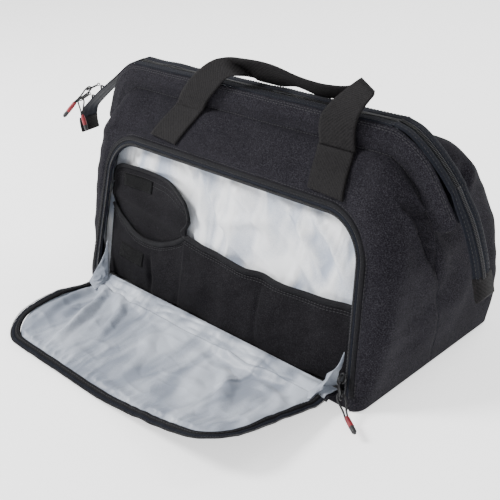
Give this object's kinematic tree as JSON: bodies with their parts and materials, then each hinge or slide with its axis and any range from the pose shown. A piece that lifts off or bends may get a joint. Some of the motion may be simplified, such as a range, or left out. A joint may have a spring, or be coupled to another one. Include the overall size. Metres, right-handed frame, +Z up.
{
  "type": "wide-mouth kit holdall",
  "caption": "Wide-mouth kit holdall with a hinged mouth frame, an overhanging top zip, webbing handles and a front compartment whose lined flap lies open.",
  "frame": {"origin": "middle of the base's underside, on the surface the bag stands on", "axes": "+Z up, +X along the bag towards the end with the hanging zip tail, -Y the front with the open compartment"},
  "size_m": [0.6668, 0.396, 0.312],
  "materials": {
    "canvas": "heavy woven polyester canvas, near-black with a fine melange",
    "satin_lining": "thin silver-grey satin lining",
    "stiffener": "stiff board in the base",
    "frame_steel": "round spring-steel rod",
    "zip_tape": "twilled zip tape",
    "zip_coil": "black nylon coil",
    "webbing": "ribbed woven webbing",
    "velcro": "hook-and-loop patch",
    "slider_metal": "black lacquered zip slider",
    "pull_cord": "braided cord",
    "pull_grip": "moulded dark red sleeve with a black end"
  },
  "bodies": {
    "shell": {"base_fabric": "canvas", "base_board": "stiffener", "floor_lining": "satin_lining", "front_panel": "canvas", "rear_panel": "canvas", "left_end_panel": "canvas", "right_end_panel": "canvas", "main_lining": "satin_lining", "front_yoke": "canvas", "rear_yoke": "canvas", "left_zip_extension": "zip_tape", "right_zip_extension": "zip_tape", "left_zip_tail": "zip_tape", "right_zip_tail": "zip_tape", "left_end_tab": "webbing", "right_end_tab": "webbing", "compartment_back": "satin_lining", "opening_zip_tape": "zip_tape", "opening_zip_teeth": "zip_coil", "left_pocket_panel": "canvas", "wide_pocket_panel": "canvas", "left_pocket_hem": "webbing", "wide_pocket_hem": "webbing", "hook_patch": "velcro", "left_flap_gusset": "satin_lining", "right_flap_gusset": "satin_lining", "front_handle_root_left": "webbing", "front_handle_root_right": "webbing", "rear_handle_root_left": "webbing", "rear_handle_root_right": "webbing"},
    "front_frame": {"front_casing": "canvas", "front_casing_facing": "satin_lining", "front_frame_rod": "frame_steel", "front_zip_tape": "zip_tape", "front_zip_teeth": "zip_coil"},
    "rear_frame": {"rear_casing": "canvas", "rear_casing_facing": "satin_lining", "rear_frame_rod": "frame_steel", "rear_zip_tape": "zip_tape", "rear_zip_teeth": "zip_coil"},
    "front_handle": {"front_handle": "webbing"},
    "rear_handle": {"rear_handle": "webbing"},
    "front_flap": {"flap_outer": "canvas", "flap_lining": "satin_lining", "flap_zip_tape": "zip_tape", "flap_zip_teeth": "zip_coil"},
    "pocket_flap": {"pocket_flap": "canvas", "loop_patch": "velcro"},
    "main_slider_a": {"main_slider_a": "slider_metal"},
    "main_slider_b": {"main_slider_b": "slider_metal"},
    "front_slider": {"front_slider": "slider_metal"},
    "pull_a": {"pull_tab_a": "slider_metal", "pull_cord_a": "pull_cord", "pull_grip_a": "pull_grip"},
    "pull_b": {"pull_tab_b": "slider_metal", "pull_cord_b": "pull_cord", "pull_grip_b": "pull_grip"},
    "pull_c": {"pull_tab_c": "slider_metal", "pull_cord_c": "pull_cord", "pull_grip_c": "pull_grip"}
  },
  "joints": [
    {"name": "mouth_open", "type": "hinge", "parent": "shell", "child": "front_frame", "pos_m": [0, -0.013, 0.172], "axis": [1, 0, 0], "range_deg": [0, 38], "deforming": ["front_yoke", "left_zip_extension", "right_zip_extension", "front_handle_root_left", "front_handle_root_right"]},
    {"name": "rear_mouth_open", "type": "hinge", "parent": "shell", "child": "rear_frame", "pos_m": [0, 0.013, 0.172], "axis": [-1, 0, 0], "range_deg": [0, 38], "deforming": ["rear_yoke", "rear_handle_root_left", "rear_handle_root_right"]},
    {"name": "front_handle_swing", "type": "hinge", "parent": "front_frame", "child": "front_handle", "pos_m": [0, -0.022, 0.238], "axis": [-1, 0, 0], "range_deg": [-125, 0]},
    {"name": "rear_handle_swing", "type": "hinge", "parent": "rear_frame", "child": "rear_handle", "pos_m": [0, 0.024, 0.245], "axis": [1, 0, 0], "range_deg": [0, 85]},
    {"name": "flap_hinge", "type": "hinge", "parent": "shell", "child": "front_flap", "pos_m": [0, -0.099, 0.017], "axis": [-1, 0, 0], "range_deg": [0, 106], "deforming": ["flap_outer", "flap_lining", "flap_zip_tape", "flap_zip_teeth", "left_flap_gusset", "right_flap_gusset"]},
    {"name": "pocket_flap_hinge", "type": "hinge", "parent": "shell", "child": "pocket_flap", "pos_m": [0, -0.0765, 0.11], "axis": [1, 0, 0], "range_deg": [0, 160], "deforming": ["pocket_flap", "loop_patch"]},
    {"name": "main_slider_a_slide", "type": "slide", "parent": "shell", "child": "main_slider_a", "axis": [0.8242, 0, 0.5663], "range_m": [0, 0.03]},
    {"name": "main_slider_b_slide", "type": "slide", "parent": "shell", "child": "main_slider_b", "axis": [0.8242, 0, 0.5663], "range_m": [0, 0.01]},
    {"name": "front_slider_slide", "type": "slide", "parent": "shell", "child": "front_slider", "axis": [-0.0774, 0.2777, 0.9575], "range_m": [0, 0.09]},
    {"name": "pull_a_swing", "type": "hinge", "parent": "main_slider_a", "child": "pull_a", "pos_m": [-0.30744, 0, 0.21853], "axis": [0, 1, 0], "range_deg": [-15, 25]},
    {"name": "pull_b_swing", "type": "hinge", "parent": "main_slider_b", "child": "pull_b", "pos_m": [-0.33344, 0, 0.20053], "axis": [0, 1, 0], "range_deg": [-15, 15]},
    {"name": "pull_c_swing", "type": "hinge", "parent": "front_slider", "child": "pull_c", "pos_m": [0.21373, -0.11856, 0.03667], "axis": [-1, 0, 0], "range_deg": [0, 60]}
  ],
  "couplings": [
    {"joint": "rear_mouth_open", "follows": "mouth_open", "ratio": 1}
  ]
}
